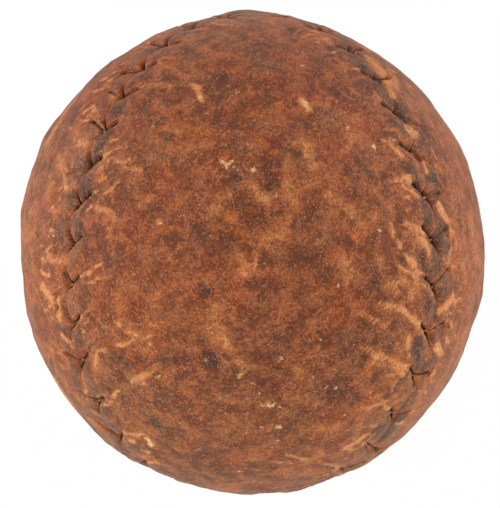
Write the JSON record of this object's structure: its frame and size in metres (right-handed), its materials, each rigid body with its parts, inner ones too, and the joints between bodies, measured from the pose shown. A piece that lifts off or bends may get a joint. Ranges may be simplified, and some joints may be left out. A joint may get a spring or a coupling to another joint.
{
  "type": "hand-stitched leather ball",
  "caption": "Round ball with a rubber core, wound wool and cotton, and two interlocking figure-eight leather panels laced edge to edge with waxed thread.",
  "frame": {"origin": "centre of the ball", "axes": "+Z through the middle of one lobe of cover_panel_a, -Y through that panel's narrow waist, +Y through the waist of cover_panel_b, +X and -X through the middles of that panel's lobes"},
  "size_m": [0.0744, 0.0744, 0.0744],
  "materials": {
    "core_rubber": "moulded, matt black",
    "coarse_wool": "coarse blue-grey wool yarn, wound tight",
    "fine_wool": "finer undyed wool yarn, wound tight",
    "cotton": "fine cotton thread, wound smooth",
    "cover_leather": "aged red-brown leather, crazed and rubbed, half-matt",
    "waxed_thread": "waxed linen thread, stained the colour of the leather"
  },
  "bodies": {
    "root": {"rubber_core": "core_rubber", "coarse_wool_winding": "coarse_wool", "fine_wool_winding": "fine_wool", "cotton_winding": "cotton", "cover_panel_a": "cover_leather", "cover_panel_b": "cover_leather", "waxed_thread_a": "waxed_thread", "waxed_thread_b": "waxed_thread"}
  },
  "joints": []
}
